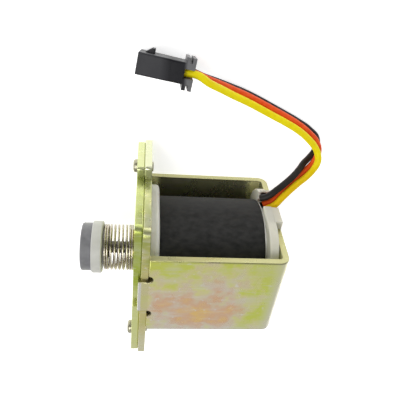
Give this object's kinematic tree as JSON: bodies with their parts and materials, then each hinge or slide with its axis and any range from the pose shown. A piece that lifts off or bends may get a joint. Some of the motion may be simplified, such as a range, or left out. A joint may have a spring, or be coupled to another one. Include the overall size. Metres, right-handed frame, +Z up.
{
  "type": "gas solenoid valve",
  "caption": "Plunger solenoid in a U-shaped steel yoke with a taped coil, a riveted mounting plate, a spring-loaded rubber-faced valve disc, and leads ending in a plug.",
  "frame": {"origin": "on the surface below, under the middle of the valve without its leads and plug", "axes": "+X along the plunger towards the seal, +Z up through the two legs of the yoke, the leads leave on the -Y side"},
  "size_m": [0.0601, 0.0718, 0.0325],
  "materials": {
    "zinc_yellow": "yellow passivated zinc, satin",
    "rivet_steel": "plated",
    "nylon_white": "moulded",
    "copper": "enamelled",
    "liner_white": "film",
    "tape_black": "matt cloth tape",
    "brass": "turned",
    "rubber_black": "moulded",
    "core_steel": "turned",
    "stem_steel": "drawn",
    "disc_white": "moulded",
    "seal_grey": "moulded",
    "spring_steel": "drawn wire",
    "lead_black": "insulation",
    "lead_red": "insulation",
    "lead_yellow": "insulation",
    "plug_black": "moulded",
    "contact_tin": "tinned"
  },
  "bodies": {
    "magnet": {"yoke_frame": "zinc_yellow", "yoke_plate": "zinc_yellow", "flange_plate": "zinc_yellow", "plate_rivets": "rivet_steel", "bobbin": "nylon_white", "pull_winding": "copper", "hold_winding": "copper", "insulation_liner": "liner_white", "insulation_tape": "tape_black", "guide_sleeve": "brass", "sleeve_o_ring": "rubber_black", "fixed_core": "core_steel", "antistick_shim": "brass", "plate_bush": "brass", "return_spring": "spring_steel", "black_lead": "lead_black", "red_lead": "lead_red", "yellow_lead": "lead_yellow", "connector_housing": "plug_black", "connector_contacts": "contact_tin"},
    "valve_head": {"plunger": "core_steel", "plunger_stem": "stem_steel", "valve_disc": "disc_white", "seal_pad": "seal_grey", "disc_clip": "stem_steel"}
  },
  "joints": [
    {"name": "plunger_slide", "type": "slide", "parent": "magnet", "child": "valve_head", "axis": [-1, 0, 0], "range_m": [0, 0.0022], "stiffness_N_per_m": 300, "springref_m": -0.004, "deforming": ["return_spring"]}
  ]
}
